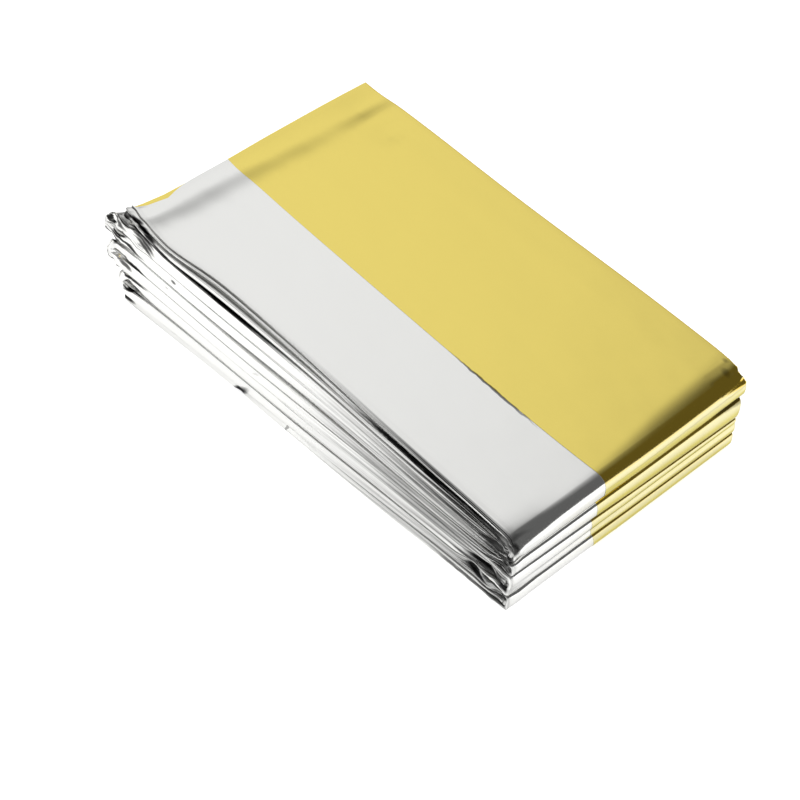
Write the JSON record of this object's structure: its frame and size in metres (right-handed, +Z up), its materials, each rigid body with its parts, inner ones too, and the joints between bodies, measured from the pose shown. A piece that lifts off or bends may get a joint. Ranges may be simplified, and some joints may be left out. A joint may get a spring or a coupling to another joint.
{
  "type": "emergency foil blanket",
  "caption": "Metallised foil emergency blanket, silver with a gold flap, pleated into a long strip and folded back and forth into a flat, pocket-size stack.",
  "frame": {"origin": "centre of the bounding box's base, on the surface that the stack lies on", "axes": "+X along the passes, from the loose left end to the right end with its folds; +Y across the strip, from the open front side to the back edge of the gold flap; +Z up through the stack"},
  "size_m": [0.1412, 0.0814, 0.0277],
  "materials": {
    "silver_foil": "thin polyester film metallised with aluminium: bright satin silver, with fine creases and rolled pleat edges",
    "gold_foil": "the film's other face, tinted: bright satin yellow gold, with soft creases"
  },
  "bodies": {
    "root": {"foil_blanket": "silver_foil"}
  },
  "joints": []
}
